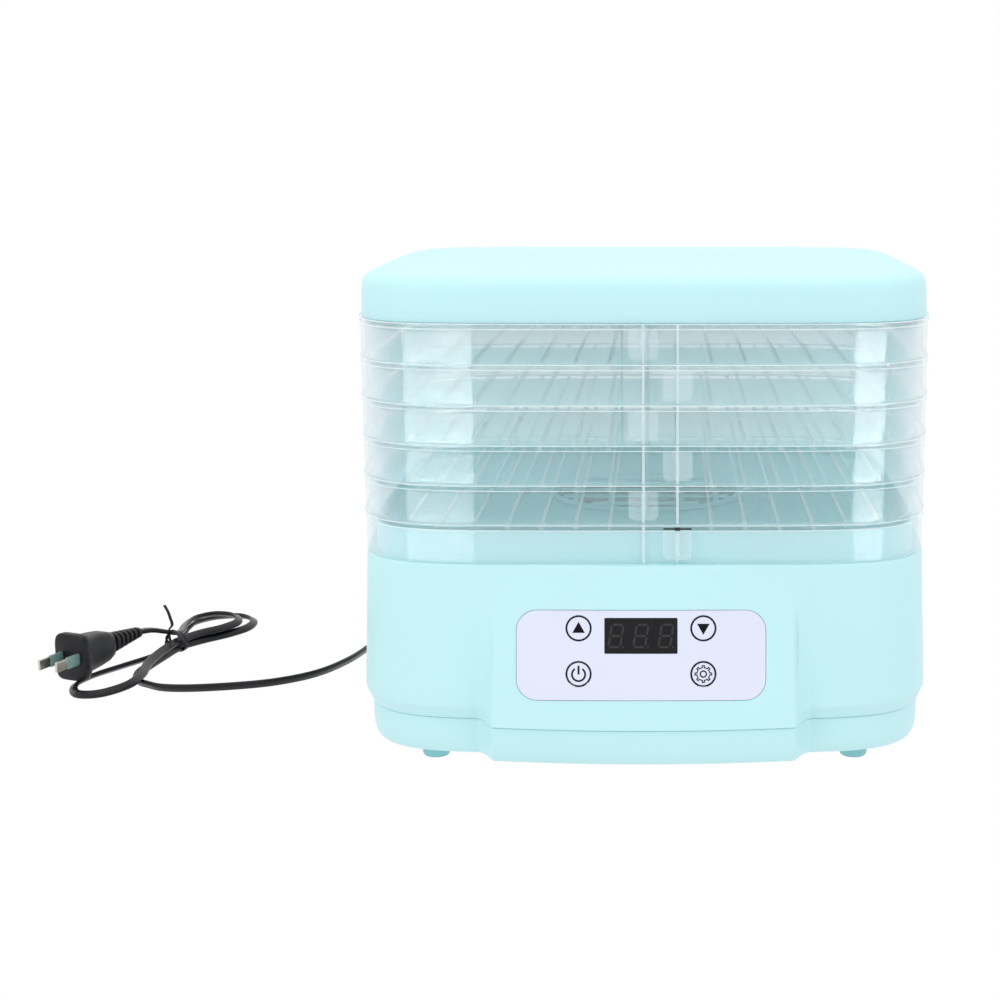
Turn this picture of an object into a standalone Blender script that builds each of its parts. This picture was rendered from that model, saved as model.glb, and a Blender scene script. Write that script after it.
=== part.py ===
"""Food dehydrator: a stack of clear trays on a fan-and-heater base with a front control pod.

Metres, +Z up. The front faces -Y and +X is to the right. The origin is at the middle of
the footprint, on the surface that the feet stand on.
"""
import math

import bmesh
import bpy
from mathutils import Matrix, Vector

MM = 0.001

# ---- driving dimensions, in millimetres ----
HALF_W = 151.0          # half the width of the trays and lid
HALF_D = 140.0          # half their depth
CORNER_POWER = 6.0      # squareness of the plan outline (a superellipse)
BODY_Y = 8.55           # the stack's centre, behind the origin because the pod stands in front
GAP = 0.3               # clearance between separate pieces

FOOT_H = 11.2
COVER_Z0, COVER_Z1 = 11.5, 31.4
BASE_Z0, BASE_Z1 = 31.7, 114.1
FLARE = 3.0             # how far the base widens at its lower edge
WALL = 2.5

TRAYS = 6
PITCH = 20.5
STACK_Z0 = 114.4        # underside of the lowest tray
SKIRT_T = 2.0
NEST = 5.0              # how far the inner wall stands inside the skirt
NEST_H = 15.5
FLOOR_T = 2.2
RIB_PITCH = 17.3

LID_Z0 = STACK_Z0 + TRAYS * PITCH     # 237.4
LID_Z1 = 260.0

POD_TOP, POD_FOOT = 3.5, 20.0         # how far the pod stands out at its top and at its foot
POD_Z1, POD_Z0 = 112.0, 32.0
POD_HALF_FLAT, POD_HALF = 77.0, 87.0

PANEL_W, PANEL_H, PANEL_R = 127.4, 45.8, 10.5
PANEL_X, PANEL_Z = -1.3, 69.6
PANEL_T = 1.5
WINDOW_W, WINDOW_H, WINDOW_UP = 36.8, 17.8, 10.0
BUTTON_R, BUTTON_X, BUTTON_UP, BUTTON_DOWN = 6.5, 31.8, 13.8, -9.5
POD_TILT = math.atan((POD_FOOT - POD_TOP) / (POD_Z1 - POD_Z0))

GRILLE_R = 57.0
DECK_Z = 124.0
CORD_R = 2.0

# ---- scene ----
for item in list(bpy.data.objects):
    bpy.data.objects.remove(item, do_unlink=True)

parts = bpy.data.collections.new("food_dehydrator")
cutters = bpy.data.collections.new("cutters")
bpy.context.scene.collection.children.link(parts)
bpy.context.scene.collection.children.link(cutters)

COLOURS = {
    "mint": ((0.57, 0.87, 0.90, 1), 0.38, 0.0),
    "foot_mint": ((0.35, 0.74, 0.75, 1), 0.6, 0.0),
    "clear": ((0.80, 0.92, 0.94, 1), 0.08, 0.0),
    "panel": ((0.78, 0.82, 0.93, 1), 0.35, 0.0),
    "window": ((0.014, 0.014, 0.017, 1), 0.15, 0.0),
    "dark": ((0.03, 0.03, 0.032, 1), 0.5, 0.0),
    "board": ((0.03, 0.18, 0.07, 1), 0.45, 0.0),
    "steel": ((0.6, 0.6, 0.62, 1), 0.3, 1.0),
    "brass": ((0.75, 0.6, 0.3, 1), 0.3, 1.0),
    "mica": ((0.62, 0.52, 0.36, 1), 0.6, 0.0),
    "cord": ((0.02, 0.02, 0.022, 1), 0.4, 0.0),
}


def finish(obj, look, angle=35.0):
    mat = bpy.data.materials.new(obj.name + "_" + look)
    mat.use_nodes = True
    shader = mat.node_tree.nodes["Principled BSDF"]
    colour, rough, metal = COLOURS[look]
    shader.inputs["Base Color"].default_value = colour
    shader.inputs["Roughness"].default_value = rough
    shader.inputs["Metallic"].default_value = metal
    obj.data.materials.clear()
    obj.data.materials.append(mat)
    if obj.type == "MESH":
        obj.data.shade_smooth()
        obj.data.set_sharp_from_angle(angle=math.radians(angle))
    return obj


def add(name, mesh, look, collection=parts):
    obj = bpy.data.objects.new(name, mesh)
    collection.objects.link(obj)
    if collection is cutters:
        obj.hide_render = True
        obj.display_type = "WIRE"
        return obj
    return finish(obj, look)


def from_bmesh(name, bm, look=None, matrix=None, scale=MM):
    """Turns a bmesh drawn in millimetres into an object."""
    bmesh.ops.recalc_face_normals(bm, faces=bm.faces)
    for v in bm.verts:
        v.co *= scale
    if matrix is not None:
        bm.transform(matrix)
    mesh = bpy.data.meshes.new(name)
    bm.to_mesh(mesh)
    bm.free()
    return add(name, mesh, look, parts if look else cutters)


# ---- plan outline ----
def side(value, half_a, half_b):
    """The superellipse's other coordinate at this one."""
    return half_b * max(0.0, 1.0 - (abs(value) / half_a) ** CORNER_POWER) ** (1.0 / CORNER_POWER)


def quadrant(stations_x, stations_y):
    """Points of the first quadrant, from the rear middle round to the right middle."""
    pts = [(x, side(x, HALF_W, HALF_D)) for x in stations_x]
    pts += [(side(y, HALF_D, HALF_W), y) for y in stations_y]
    return pts


BASE_QUAD = quadrant((0, 38.5, 77, 80.3, 83.7, 87, 102, 116, 127), (HALF_D * 2 ** (-1 / CORNER_POWER), 112, 98, 78, 45))
TRAY_QUAD = quadrant((0, 45, 85, 107, 122), (HALF_D * 2 ** (-1 / CORNER_POWER), 113, 99, 76, 40))


def ring(quad):
    """The whole outline, counter-clockwise from the right middle."""
    first = [(HALF_W, 0.0)] + [p for p in reversed(quad)]          # right middle to rear middle
    upper = first + [(-x, y) for x, y in reversed(first[:-1])]     # on to the left middle
    return upper + [(x, -y) for x, y in reversed(upper[1:-1])]


def normal(x, y):
    nx = math.copysign((abs(x) / HALF_W) ** (CORNER_POWER - 1) / HALF_W, x)
    ny = math.copysign((abs(y) / HALF_D) ** (CORNER_POWER - 1) / HALF_D, y)
    length = math.hypot(nx, ny)
    return nx / length, ny / length


def pod_front(z):
    """How far in front of the stack's centre the pod's face lies at this height."""
    return HALF_D + POD_TOP + (min(z, POD_Z1) - POD_Z1) / (POD_Z0 - POD_Z1) * (POD_FOOT - POD_TOP)


def outline(quad, offset, z, pod=False):
    out = []
    for x, y in ring(quad):
        nx, ny = normal(x, y)
        px, py = x + nx * offset, y + ny * offset
        if pod and y < 0:
            t = min(1.0, max(0.0, (POD_HALF - abs(x)) / (POD_HALF - POD_HALF_FLAT)))
            t = t * t * (3 - 2 * t)
            target = -(pod_front(z) + min(offset, 0.0))
            py += (target - py) * t
        out.append((px, py + BODY_Y))
    return out


def lofted(name, look, rows, quad=TRAY_QUAD, closed=False):
    """A wall drawn as (offset, height) rows round the plan outline. With closed it is an
    endless band; otherwise its first and last rows are filled. A row that ends in True
    swells out over the pod."""
    bm = bmesh.new()
    rings = []
    for offset, z, *swell in rows:
        verts = [bm.verts.new((x, y, z)) for x, y in outline(quad, offset, z, bool(swell))]
        edges = [bm.edges.new((verts[i], verts[(i + 1) % len(verts)])) for i in range(len(verts))]
        rings.append((verts, edges))
    pairs = list(zip(rings, rings[1:]))
    if closed:
        pairs.append((rings[-1], rings[0]))
    for (va, _), (vb, _) in pairs:
        n = len(va)
        for i in range(n):
            bm.faces.new((va[i], va[(i + 1) % n], vb[(i + 1) % n], vb[i]))
    if not closed:
        bm.faces.new(rings[0][0])
        bm.faces.new(rings[-1][0])
    return from_bmesh(name, bm, look)


# ---- simple shapes ----
def box(name, look, centre, size, bevel=0.0, matrix=None):
    bm = bmesh.new()
    bmesh.ops.create_cube(bm, size=1.0)
    bmesh.ops.scale(bm, vec=size, verts=bm.verts)
    bmesh.ops.translate(bm, vec=centre, verts=bm.verts)
    if bevel:
        bmesh.ops.bevel(bm, geom=bm.edges[:], offset=bevel, segments=1, affect="EDGES", profile=0.5)
    return from_bmesh(name, bm, look, matrix)


def rod(name, look, centre, radius, depth, axis="Z", sides=24, radius2=None, matrix=None):
    bm = bmesh.new()
    bmesh.ops.create_cone(bm, cap_ends=True, segments=sides, radius1=radius,
                          radius2=radius if radius2 is None else radius2, depth=depth)
    turn = {"Z": Matrix(), "X": Matrix.Rotation(math.pi / 2, 4, "Y"), "Y": Matrix.Rotation(-math.pi / 2, 4, "X")}[axis]
    bm.transform(Matrix.Translation(Vector(centre)) @ turn)
    return from_bmesh(name, bm, look, matrix)


def plate(name, look, width, height, radius, z0, z1, matrix=None, at=(0.0, 0.0), seg=5):
    """A flat plate with round corners, between two heights of its own frame."""
    curve = bpy.data.curves.new(name, "CURVE")
    curve.dimensions = "2D"
    curve.fill_mode = "BOTH"
    curve.extrude = (z1 - z0) / 2 * MM
    spline = curve.splines.new("POLY")
    pts = []
    for cx, cy, start in ((1, 1, 0), (-1, 1, 90), (-1, -1, 180), (1, -1, 270)):
        for i in range(seg + 1):
            a = math.radians(start + 90 * i / seg)
            pts.append((cx * (width / 2 - radius) + radius * math.cos(a) + at[0],
                        cy * (height / 2 - radius) + radius * math.sin(a) + at[1]))
    spline.points.add(len(pts) - 1)
    for p, (x, y) in zip(spline.points, pts):
        p.co = (x * MM, y * MM, 0, 1)
    spline.use_cyclic_u = True
    guide = bpy.data.objects.new(name + "_guide", curve)
    bpy.context.scene.collection.objects.link(guide)
    bpy.context.view_layer.update()
    mesh = bpy.data.meshes.new_from_object(guide.evaluated_get(bpy.context.evaluated_depsgraph_get()))
    bpy.data.objects.remove(guide, do_unlink=True)
    bm = bmesh.new()
    bm.from_mesh(mesh)
    bmesh.ops.remove_doubles(bm, verts=bm.verts, dist=1e-6)
    bmesh.ops.translate(bm, vec=(0, 0, (z0 + z1) / 2 * MM), verts=bm.verts)
    return from_bmesh(name, bm, look, matrix, scale=1.0)


def tube(name, look, points, radius, resolution=2, cyclic=False):
    """A round tube on a run of straight chords, welded into one skin."""
    curve = bpy.data.curves.new(name, "CURVE")
    curve.dimensions = "3D"
    curve.bevel_depth = radius * MM
    curve.bevel_resolution = resolution
    curve.use_fill_caps = True
    spline = curve.splines.new("POLY")
    spline.points.add(len(points) - 1)
    for p, co in zip(spline.points, points):
        p.co = (co[0] * MM, co[1] * MM, co[2] * MM, 1)
    spline.use_cyclic_u = cyclic
    obj = bpy.data.objects.new(name, curve)
    parts.objects.link(obj)
    return finish(obj, look)


def turned(name, look, profile, origin=(0, 0, 0), axis="Z", steps=24):
    """A turned shape: a profile of (radius, height) points run down its outer side."""
    mesh = bpy.data.meshes.new(name)
    bm = bmesh.new()
    vs = [bm.verts.new((r * MM, 0, h * MM)) for r, h in profile]
    for a, b in zip(vs, vs[1:]):
        bm.edges.new((a, b))
    bm.to_mesh(mesh)
    bm.free()
    obj = bpy.data.objects.new(name, mesh)
    parts.objects.link(obj)
    screw = obj.modifiers.new("turn", "SCREW")
    screw.steps = screw.render_steps = steps
    screw.use_merge_vertices = True
    screw.merge_threshold = 0.00001
    if axis == "Y":
        obj.rotation_euler = (-math.pi / 2, 0, 0)
    obj.location = Vector(origin) * MM
    return finish(obj, look)


def cut(obj, cutter, operation="DIFFERENCE"):
    mod = obj.modifiers.new(cutter.name, "BOOLEAN")
    mod.operation = operation
    mod.solver = "EXACT"
    mod.object = cutter
    return obj


def joined(name, shapes):
    """Several closed shapes kept together as one cutter."""
    bm = bmesh.new()
    for obj in shapes:
        bm.from_mesh(obj.data)
        bpy.data.objects.remove(obj, do_unlink=True)
    mesh = bpy.data.meshes.new(name)
    bm.to_mesh(mesh)
    bm.free()
    return add(name, mesh, None, cutters)


# ---- base housing: side wall, pod, ledge, spigot and deck in one shell ----
housing = lofted("base_housing", "mint", [
    (-NEST - 2.2, DECK_Z), (-NEST - 2.2, 130.4), (-NEST - 0.2, 130.4), (-NEST - 0.2, BASE_Z1),
    (0.0, BASE_Z1, True), (0.1, POD_Z1, True), (FLARE, 38.0, True), (0.0, BASE_Z0, True),
    (-WALL, BASE_Z0, True), (FLARE - WALL, 38.0, True), (-WALL, 111.6, True),
    (-NEST - 2.2, 111.6), (-NEST - 2.2, DECK_Z - WALL),
], BASE_QUAD)

# the pod's own frame: X across, Y up the slope, Z out of its face
POD = Matrix.Translation(Vector((PANEL_X, BODY_Y - pod_front(PANEL_Z), PANEL_Z)) * MM) @ Matrix.Rotation(
    math.pi / 2 - POD_TILT, 4, "X")

BUTTONS = {
    "button_up": (-BUTTON_X, BUTTON_UP), "button_down": (BUTTON_X, BUTTON_UP),
    "button_power": (-BUTTON_X, BUTTON_DOWN), "button_settings": (BUTTON_X, BUTTON_DOWN),
}

cut(housing, plate("cut_panel_recess", None, PANEL_W + 0.6, PANEL_H + 0.6, PANEL_R + 0.3, -1.5, 4.0, POD))
cut(housing, plate("cut_panel_opening", None, 112.0, 43.6, 6.0, -9.0, -1.0, POD, seg=2))
cut(housing, rod("cut_deck", None, (0, BODY_Y, 120), GRILLE_R - 3, 30, sides=40))

BOSSES = [(-104, 84), (104, 84), (-104, -78), (104, -78)]
for i, (x, y) in enumerate(BOSSES):
    cut(housing, rod(f"add_boss_{i + 1}", None, (x, y + BODY_Y, 70.2), 4.5, 105.6, sides=12), "UNION")
for i, (x, y) in enumerate(BOSSES):
    cut(housing, rod(f"cut_pilot_{i + 1}", None, (x, y + BODY_Y, 23.0), 2.0, 40.0, sides=10))
cut(housing, rod("cut_sensor_hole", None, (-70, BODY_Y, 122), 2.6, 12, sides=10))

# ---- bottom cover ----
cover = lofted("bottom_cover", "mint", [
    (-7.0, COVER_Z0, True), (-3.2, 12.3, True), (-1.1, 14.6, True), (-0.2, 18.5, True),
    (-0.2, COVER_Z1, True), (-0.2 - WALL, COVER_Z1, True), (-0.2 - WALL, 14.0, True),
], BASE_QUAD)
for i, (x, y) in enumerate(BOSSES):                  # raised pads, so that the screw heads can sit below the surface
    cut(cover, rod(f"add_pad_{i + 1}", None, (x, y + BODY_Y, 14.3), 6.2, 5.4, sides=14), "UNION")
slots = []
for i in range(-4, 5):
    reach = math.sqrt(52.0 ** 2 - (i * 11.0) ** 2)
    slots.append(box(f"vent_{i}", None, (i * 11.0, BODY_Y, 14), (4.6, 2 * reach, 12)))
for x, y in BOSSES:
    slots.append(rod("hole", None, (x, y + BODY_Y, 18), 2.1, 12, sides=10))
cut(cover, joined("cut_cover_openings", slots))
for i, (x, y) in enumerate(BOSSES):
    cut(cover, rod(f"cut_seat_{i + 1}", None, (x, y + BODY_Y, 9.5), 4.1, 10, sides=14))
CORD_X, CORD_Z = -100.0, 24.0
REAR_Y = BODY_Y + side(CORD_X, HALF_W, HALF_D)
cut(cover, rod("cut_gland_hole", None, (CORD_X, REAR_Y, CORD_Z), 5.6, 24, "Y", 16))

for x, y, name in ((-113, -104, "foot_front_left"), (113, -104, "foot_front_right"),
                   (-113, 104, "foot_rear_left"), (113, 104, "foot_rear_right")):
    rod(name, "foot_mint", (x, y + BODY_Y, FOOT_H / 2), 7.2, FOOT_H, sides=20, radius2=8.6)
for i, (x, y) in enumerate(BOSSES):
    turned(f"cover_screw_{i + 1}", "steel", [(0, 36.0), (1.4, 34.0), (1.7, 14.2), (3.6, 14.2), (3.6, 12.6), (2.6, 11.6), (0, 11.6)],
           (x, y + BODY_Y, 0), steps=10)

# ---- grille, duct, fan and heater on the centre line ----
grille = rod("air_grille", "dark", (0, BODY_Y, DECK_Z + GAP + 1.0), GRILLE_R, 2.0, sides=40)
bars = []
for i in range(-4, 5):
    reach = math.sqrt(49.0 ** 2 - (i * 10.0) ** 2)
    for s in (-1, 1):
        bars.append(box("bar", None, (s * (reach / 2 + 1.5), BODY_Y + i * 10.0, DECK_Z + 1.3), (reach - 3.0, 5.5, 8)))
cut(grille, joined("cut_grille_slots", bars))

duct = rod("air_duct", "dark", (0, BODY_Y, 90.0), 57.0, 62.0, sides=32)
cut(duct, rod("cut_duct", None, (0, BODY_Y, 90.0), 55.0, 80.0, sides=32))
bracket = box("motor_bracket", "steel", (0, BODY_Y, 57.5), (122, 20, 2.0))
cut(bracket, rod("cut_bracket", None, (0, BODY_Y, 57.5), 4.0, 10.0, sides=12))
turned("fan_motor", "steel", [(0, 82.0), (5.0, 82.0), (5.0, 80.0), (21.0, 80.0), (22.0, 79.0), (22.0, 59.8), (21.0, 58.8), (2.9, 58.8),
                              (2.9, 62.0), (0, 62.0)], (0, BODY_Y, 0), steps=24)
turned("motor_shaft", "steel", [(0, 102.0), (1.7, 102.0), (2.0, 101.5), (2.0, 82.3), (0, 82.3)], (0, BODY_Y, 0), steps=10)

hub = rod("fan_impeller", "dark", (0, BODY_Y, 94.0), 13.0, 13.0, sides=21)
for i in range(7):
    a = 2 * math.pi * i / 7
    blade = Matrix.Translation((0, BODY_Y * MM, 0)) @ Matrix.Rotation(a, 4, "Z") @ Matrix.Translation((31 * MM, 0, 94 * MM)) \
        @ Matrix.Rotation(math.radians(32), 4, "X")
    cut(hub, box(f"add_blade_{i + 1}", None, (0, 0, 0), (42, 20, 1.6), matrix=blade), "UNION")
cut(hub, rod("cut_hub_bore", None, (0, BODY_Y, 94.0), 2.3, 30.0, sides=12))

frame_x = box("heater_frame", "mica", (0, BODY_Y, 108.0), (106, 1.6, 7.0))
cut(frame_x, box("add_heater_cross", None, (0, BODY_Y, 108.0), (1.6, 106, 7.0)), "UNION")
turns = []
for i in range(61):
    a = 2 * math.pi * i / 60
    r = 46.0 - 24.0 * min(1.0, i / 60.0)
    turns.append((r * math.cos(2.5 * a), BODY_Y + r * math.sin(2.5 * a), 114.2))
tube("heating_element", "steel", turns, 2.2)
box("thermal_cutout", "steel", (0, BODY_Y + 70, 118.4), (16, 12, 5.6), 0.8)
turned("temperature_sensor", "steel", [(0, 128.0), (1.5, 127.4), (2.1, 126.0), (2.1, 112.0), (0, 112.0)], (-70, BODY_Y, 0), steps=12)

# ---- control pod ----
panel = plate("control_panel", "panel", PANEL_W, PANEL_H, PANEL_R, -1.2, -1.2 + PANEL_T, POD)
openings = [plate("window", None, WINDOW_W + 0.6, WINDOW_H + 0.6, 0.8, -5, 5, at=(0, WINDOW_UP), seg=2)]
for name, (x, y) in BUTTONS.items():
    openings.append(rod("hole", None, (x, y, 0), BUTTON_R + GAP, 10, sides=24))
holes = joined("cut_panel_holes", openings)
holes.matrix_world = POD
cut(panel, holes)
plate("display_window", "window", WINDOW_W, WINDOW_H, 0.5, -1.2, 0.2, POD, at=(0, WINDOW_UP), seg=2)
box("display_module", "window", (0, WINDOW_UP, -6.0), (37.4, 18.9, 8.0), matrix=POD)
box("control_board", "board", (0, 2.0, -12.0), (106.0, 34.0, 1.6), matrix=POD)
for name, (x, y) in BUTTONS.items():
    box("switch_" + name[7:], "steel", (x, y, -9.0), (6.2, 6.2, 3.6), 0.4, matrix=POD)
    button = rod(name, "panel", (0, 0, 0), BUTTON_R, 1.3, sides=28)
    stem = rod("add_stem_" + name[7:], None, (0, 0, -3.2), 2.2, 6.0, sides=10)
    cut(button, stem, "UNION")
    button.matrix_world = stem.matrix_world = POD @ Matrix.Translation(Vector((x, y, -0.55)) * MM)

# ---- power supply on the floor of the base ----
box("power_board", "board", (52, BODY_Y + 88, 19.2), (86, 50, 1.6))
box("transformer", "dark", (38, BODY_Y + 88, 34.3), (34, 30, 28), 1.5)
box("relay", "dark", (80, BODY_Y + 88, 28.3), (15, 19, 15.6), 0.8)

# ---- trays: skirt outside, ledge and floor, inner wall that nests in the tray above ----
for k in range(TRAYS):
    low = STACK_Z0 + k * PITCH
    top = low + PITCH - GAP                       # the ledge that the next piece rests on
    wall_top = top + NEST_H
    tray = lofted(f"tray_{k + 1}", "clear", [
        (-NEST - 1.8, top), (-NEST - 1.8, wall_top), (-NEST, wall_top), (-NEST, top), (0.0, top),
        (0.0, low), (-SKIRT_T, low), (-SKIRT_T, top - FLOOR_T),
    ])
    cells = []
    for col in range(-3, 4):
        for row in (-1, 1):
            cells.append(box("cell", None, (col * 2 * RIB_PITCH, BODY_Y + row * 60.5, top), (2 * RIB_PITCH - 5.0, 112.0, 12)))
    cut(tray, joined(f"cut_tray_floor_{k + 1}", cells))

# ---- lid ----
lofted("lid", "mint", [
    (-9.0, LID_Z1), (-5.2, 259.2), (-2.2, 257.0), (-0.6, 253.6), (0.0, 249.0), (0.0, LID_Z0), (-2.4, LID_Z0),
    (-2.4, 250.0), (-4.6, 256.2), (-9.0, 257.6),
])

# ---- mains cord: gland, lead along the floor, hank, tie and plug ----
GLAND_Y = REAR_Y - 7.0
turned("cord_gland", "cord", [(0, 38.0), (3.0, 38.0), (3.4, 36.0), (5.2, 14.0), (5.2, 0.0), (0, 0.0)],
       (CORD_X, GLAND_Y, CORD_Z), axis="Y", steps=16)

LEAD = [  # the middle of the lead, from the gland round the corner of the base to the hank
    (CORD_X, GLAND_Y + 38.3, 24.0), (-100.5, GLAND_Y + 48, 23.0), (-103.0, GLAND_Y + 60, 19.0), (-110.0, 211.0, 10.5),
    (-121.0, 220.0, 3.6), (-136.0, 221.5, 2.2), (-151.0, 212.0, 2.2), (-163.0, 192.0, 2.2), (-171.5, 164.0, 2.2),
    (-177.0, 133.0, 2.2), (-182.5, 103.0, 2.2), (-191.0, 72.0, 2.2), (-206.0, 44.0, 2.2), (-228.0, 26.5, 2.2),
    (-255.0, 17.5, 2.2), (-280.0, 14.0, 2.2), (-294.0, 15.8, 2.2), (-302.6, 21.2, 2.2),
]


def smooth(points, step):
    """Points a step apart along a centripetal Catmull-Rom curve through the given ones."""
    pts = [Vector(p) for p in points]
    pts = [pts[0] * 2 - pts[1]] + pts + [pts[-1] * 2 - pts[-2]]
    fine = []
    for a, b, c, d in zip(pts, pts[1:], pts[2:], pts[3:]):
        t1 = (b - a).length ** 0.5
        t2 = t1 + (c - b).length ** 0.5
        t3 = t2 + (d - c).length ** 0.5
        for i in range(12):
            t = t1 + (t2 - t1) * i / 12
            p = a * ((t1 - t) / t1) + b * (t / t1)
            q = b * ((t2 - t) / (t2 - t1)) + c * ((t - t1) / (t2 - t1))
            r = c * ((t3 - t) / (t3 - t2)) + d * ((t - t2) / (t3 - t2))
            u = p * ((t2 - t) / t2) + q * (t / t2)
            v = q * ((t3 - t) / (t3 - t1)) + r * ((t - t1) / (t3 - t1))
            fine.append(u * ((t2 - t) / (t2 - t1)) + v * ((t - t1) / (t2 - t1)))
    fine.append(pts[-2])
    total = sum((b - a).length for a, b in zip(fine, fine[1:]))
    count = max(2, round(total / step))
    out, run, k = [fine[0]], 0.0, 0
    for i in range(1, count):
        goal = total * i / count
        while run + (fine[k + 1] - fine[k]).length < goal:
            run += (fine[k + 1] - fine[k]).length
            k += 1
        out.append(fine[k].lerp(fine[k + 1], (goal - run) / (fine[k + 1] - fine[k]).length))
    return out + [fine[-1]]


tube("cord_lead", "cord", smooth(LEAD, 9.0), CORD_R)

HANK_A, HANK_B = Vector((-336.0, -6.0, 0)), Vector((-285.0, 186.0, 0))
HANK_R, HANK_Z0, HANK_Z1 = 24.0, 0.2, 11.5
along = (HANK_B - HANK_A).normalized()
HANK = Matrix.Translation((HANK_A + HANK_B) / 2 * MM) @ Matrix.Rotation(math.atan2(along.y, along.x), 4, "Z")
HANK_L = (HANK_B - HANK_A).length
plate("cord_hank", "cord", HANK_L, 2 * HANK_R, HANK_R - 0.01, HANK_Z0, HANK_Z1, HANK, seg=8)
box("cord_tie", "dark", (HANK_L * 0.075, 0, 12.8), (4.0, 34.0, 2.0), matrix=HANK)

PLUG_START, PLUG_DIR, PLUG_Z = Vector((-326.0, 84.0, 0)), Vector((-0.381, -0.925, 0)).normalized(), 18.6
PLUG = Matrix.Translation((PLUG_START + Vector((0, 0, PLUG_Z))) * MM) @ Matrix.Rotation(
    math.atan2(PLUG_DIR.y, PLUG_DIR.x), 4, "Z")
rod("plug_strain_relief", "cord", (15.0, 0, 0), 2.9, 30.0, "X", 14, radius2=5.2, matrix=PLUG)
plug = box("plug_body", "cord", (47.3, 0, 0), (34.0, 26.0, 13.4), 2.0, matrix=PLUG)
for name, y in (("plug_blade_left", -6.35), ("plug_blade_right", 6.35)):
    cut(plug, box("cut_" + name, None, (62.0, y, 0), (12.0, 2.1, 6.9), matrix=PLUG))
    box(name, "brass", (70.3, y, 0), (28.0, 1.5, 6.3), 0.3, matrix=PLUG)
TAIL = [(-0.3, 0, 0), (-5.0, 0, -0.6), (-11.0, 0, -3.0), (-17.5, 0, -4.5)]
tube("cord_tail", "cord", [PLUG.to_3x3() @ Vector(p) + PLUG_START + Vector((0, 0, PLUG_Z))
                           for p in TAIL], CORD_R)
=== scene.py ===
"""Food dehydrator: the finished look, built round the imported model."""
import math

import bmesh
import bpy
from mathutils import Matrix, Vector


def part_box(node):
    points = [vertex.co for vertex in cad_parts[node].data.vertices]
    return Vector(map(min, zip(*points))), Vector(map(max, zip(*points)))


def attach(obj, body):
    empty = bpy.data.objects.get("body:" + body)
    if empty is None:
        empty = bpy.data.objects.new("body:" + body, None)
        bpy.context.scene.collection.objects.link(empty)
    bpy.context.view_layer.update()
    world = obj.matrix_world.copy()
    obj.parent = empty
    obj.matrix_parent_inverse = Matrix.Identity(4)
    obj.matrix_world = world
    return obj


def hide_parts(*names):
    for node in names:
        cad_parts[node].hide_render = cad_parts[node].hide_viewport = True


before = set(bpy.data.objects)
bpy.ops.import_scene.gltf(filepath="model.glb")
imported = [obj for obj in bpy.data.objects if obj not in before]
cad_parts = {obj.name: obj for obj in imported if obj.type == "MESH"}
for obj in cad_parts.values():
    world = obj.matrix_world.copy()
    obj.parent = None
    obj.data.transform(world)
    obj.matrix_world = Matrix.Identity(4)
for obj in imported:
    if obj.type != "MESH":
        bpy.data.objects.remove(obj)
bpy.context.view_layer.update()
MM = 0.001
rad = math.radians

# ---- the same plan and heights as the CAD, in millimetres ----
HALF_W, HALF_D, POWER, BODY_Y = 151.0, 140.0, 6.0, 8.55
STACK_Z0, PITCH, TRAYS, NEST, NEST_H = 114.4, 20.5, 6, 5.0, 15.5
POD_TOP, POD_FOOT, POD_Z1, POD_Z0 = 3.5, 20.0, 112.0, 32.0
POD_HALF, POD_FLANK, BOW = 87.5, 9.5, 4.0
PANEL_X, PANEL_Z, WINDOW_UP, BUTTON_X, BUTTON_UP, BUTTON_DOWN = -1.3, 69.6, 10.0, 31.8, 13.8, -9.5
DECK_Z, RIB_PITCH = 124.0, 17.3
POD_TILT = math.atan((POD_FOOT - POD_TOP) / (POD_Z1 - POD_Z0))

# ---- camera ----
camera = bpy.data.cameras.new("camera")
camera.sensor_width = 36.0
camera.lens = 63.97
camera.shift_x = -0.1649
camera.clip_end = 50
view = bpy.data.objects.new("camera", camera)
bpy.context.scene.collection.objects.link(view)
view.location = (0.0109, -1.0151, 0.3256)
view.rotation_euler = (rad(90 - 11.37), rad(0.0), 0)
bpy.context.scene.camera = view
bpy.context.scene.view_settings.view_transform = "Standard"


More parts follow.
